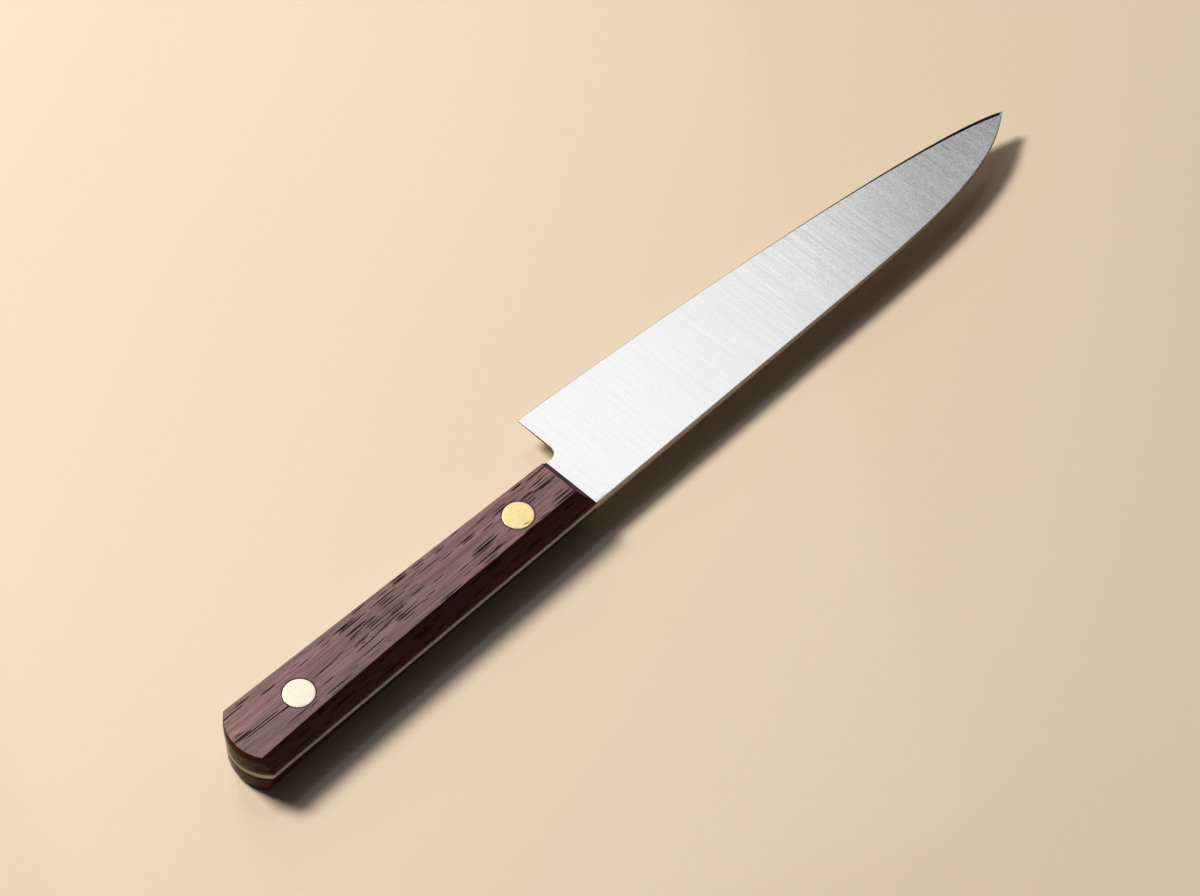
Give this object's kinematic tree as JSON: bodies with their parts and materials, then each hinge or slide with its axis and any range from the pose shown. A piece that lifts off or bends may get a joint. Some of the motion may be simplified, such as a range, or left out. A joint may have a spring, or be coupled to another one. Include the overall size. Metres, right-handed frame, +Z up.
{
  "type": "petty knife",
  "caption": "Full-tang petty knife with a ground stainless blade, dark wood handle scales and flush brass rivets, lying on its side.",
  "frame": {"origin": "middle of the box round the knife, on the surface that its right scale lies on", "axes": "+X from the butt to the tip along the straight spine, +Y from the spine to the cutting edge, +Z up out of the knife's left side"},
  "size_m": [0.2608, 0.0308, 0.0142],
  "materials": {
    "steel": "satin, fine grind lines from spine to edge",
    "wood": "satin oiled rosewood with open pores",
    "brass": "ground flush, softly polished"
  },
  "bodies": {
    "root": {"blade": "steel", "left_scale": "wood", "right_scale": "wood", "front_rivet_tube": "brass", "front_rivet_pin": "brass", "rear_rivet_tube": "brass", "rear_rivet_pin": "brass"}
  },
  "joints": []
}
